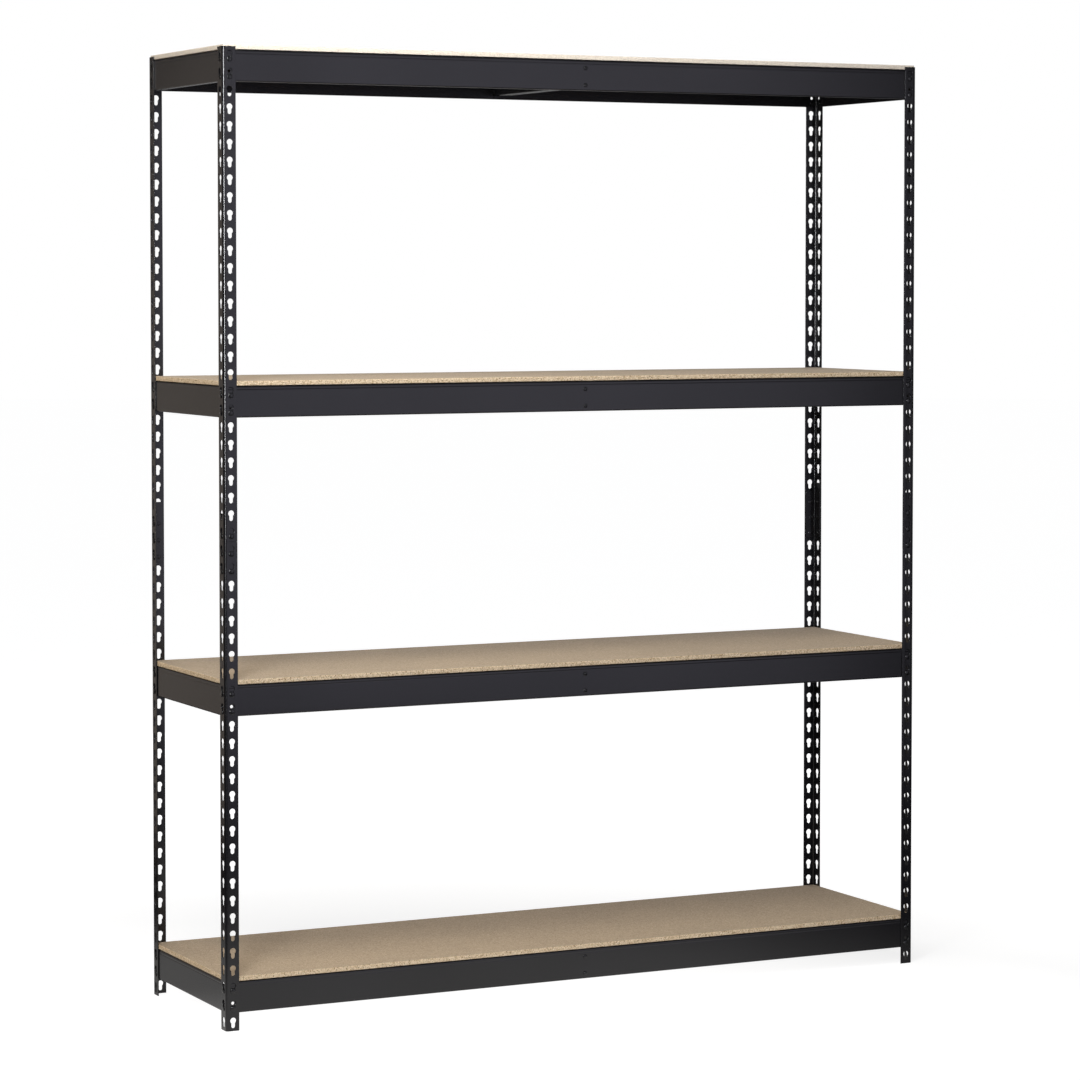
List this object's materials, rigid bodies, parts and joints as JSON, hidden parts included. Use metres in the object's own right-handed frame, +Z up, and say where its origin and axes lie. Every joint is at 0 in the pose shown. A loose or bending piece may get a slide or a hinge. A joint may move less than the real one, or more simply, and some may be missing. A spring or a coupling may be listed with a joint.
{
  "type": "boltless steel shelving",
  "caption": "Free-standing boltless steel shelving: slotted angle posts, hook-in beams with centre supports, and particleboard decks.",
  "frame": {"origin": "middle of the footprint on the floor, under the post feet", "axes": "+X along the long side, +Y from the front to the back, +Z up"},
  "size_m": [1.7572, 0.4618, 2.1375],
  "materials": {
    "black_steel": "satin charcoal-black powder coat with a fine texture",
    "rivet_steel": "black painted rivet heads, a little glossier than the sheet",
    "particleboard": "raw tan particleboard, fine chips on the faces and coarse chips in the sawn edges"
  },
  "bodies": {
    "uprights": {"post_front_left_lower": "black_steel", "post_front_left_upper": "black_steel", "post_front_right_lower": "black_steel", "post_front_right_upper": "black_steel", "post_back_right_lower": "black_steel", "post_back_right_upper": "black_steel", "post_back_left_lower": "black_steel", "post_back_left_upper": "black_steel", "coupler_front_left": "black_steel", "coupler_front_right": "black_steel", "coupler_back_right": "black_steel", "coupler_back_left": "black_steel"},
    "shelf_1": {"shelf_1_front_beam": "black_steel", "shelf_1_right_beam": "black_steel", "shelf_1_back_beam": "black_steel", "shelf_1_left_beam": "black_steel", "shelf_1_center_support": "black_steel", "shelf_1_rivet_front_upper": "rivet_steel", "shelf_1_rivet_front_lower": "rivet_steel", "shelf_1_rivet_back_upper": "rivet_steel", "shelf_1_rivet_back_lower": "rivet_steel"},
    "deck_1": {"shelf_1_deck": "particleboard"},
    "shelf_2": {"shelf_2_front_beam": "black_steel", "shelf_2_right_beam": "black_steel", "shelf_2_back_beam": "black_steel", "shelf_2_left_beam": "black_steel", "shelf_2_center_support": "black_steel", "shelf_2_rivet_front_upper": "rivet_steel", "shelf_2_rivet_front_lower": "rivet_steel", "shelf_2_rivet_back_upper": "rivet_steel", "shelf_2_rivet_back_lower": "rivet_steel"},
    "deck_2": {"shelf_2_deck": "particleboard"},
    "shelf_3": {"shelf_3_front_beam": "black_steel", "shelf_3_right_beam": "black_steel", "shelf_3_back_beam": "black_steel", "shelf_3_left_beam": "black_steel", "shelf_3_center_support": "black_steel", "shelf_3_rivet_front_upper": "rivet_steel", "shelf_3_rivet_front_lower": "rivet_steel", "shelf_3_rivet_back_upper": "rivet_steel", "shelf_3_rivet_back_lower": "rivet_steel"},
    "deck_3": {"shelf_3_deck": "particleboard"},
    "shelf_4": {"shelf_4_front_beam": "black_steel", "shelf_4_right_beam": "black_steel", "shelf_4_back_beam": "black_steel", "shelf_4_left_beam": "black_steel", "shelf_4_center_support": "black_steel", "shelf_4_rivet_front_upper": "rivet_steel", "shelf_4_rivet_front_lower": "rivet_steel", "shelf_4_rivet_back_upper": "rivet_steel", "shelf_4_rivet_back_lower": "rivet_steel"},
    "deck_4": {"shelf_4_deck": "particleboard"}
  },
  "joints": [
    {"name": "shelf_1_unhook", "type": "slide", "parent": "uprights", "child": "shelf_1", "axis": [0, 0, 1], "range_m": [0, 0.0119]},
    {"name": "deck_1_lift", "type": "slide", "parent": "shelf_1", "child": "deck_1", "axis": [0, 0, 1], "range_m": [0, 0.15]},
    {"name": "shelf_2_unhook", "type": "slide", "parent": "uprights", "child": "shelf_2", "axis": [0, 0, 1], "range_m": [0, 0.0119]},
    {"name": "deck_2_lift", "type": "slide", "parent": "shelf_2", "child": "deck_2", "axis": [0, 0, 1], "range_m": [0, 0.15]},
    {"name": "shelf_3_unhook", "type": "slide", "parent": "uprights", "child": "shelf_3", "axis": [0, 0, 1], "range_m": [0, 0.0119]},
    {"name": "deck_3_lift", "type": "slide", "parent": "shelf_3", "child": "deck_3", "axis": [0, 0, 1], "range_m": [0, 0.15]},
    {"name": "shelf_4_unhook", "type": "slide", "parent": "uprights", "child": "shelf_4", "axis": [0, 0, 1], "range_m": [0, 0.0119]},
    {"name": "deck_4_lift", "type": "slide", "parent": "shelf_4", "child": "deck_4", "axis": [0, 0, 1], "range_m": [0, 0.15]}
  ]
}
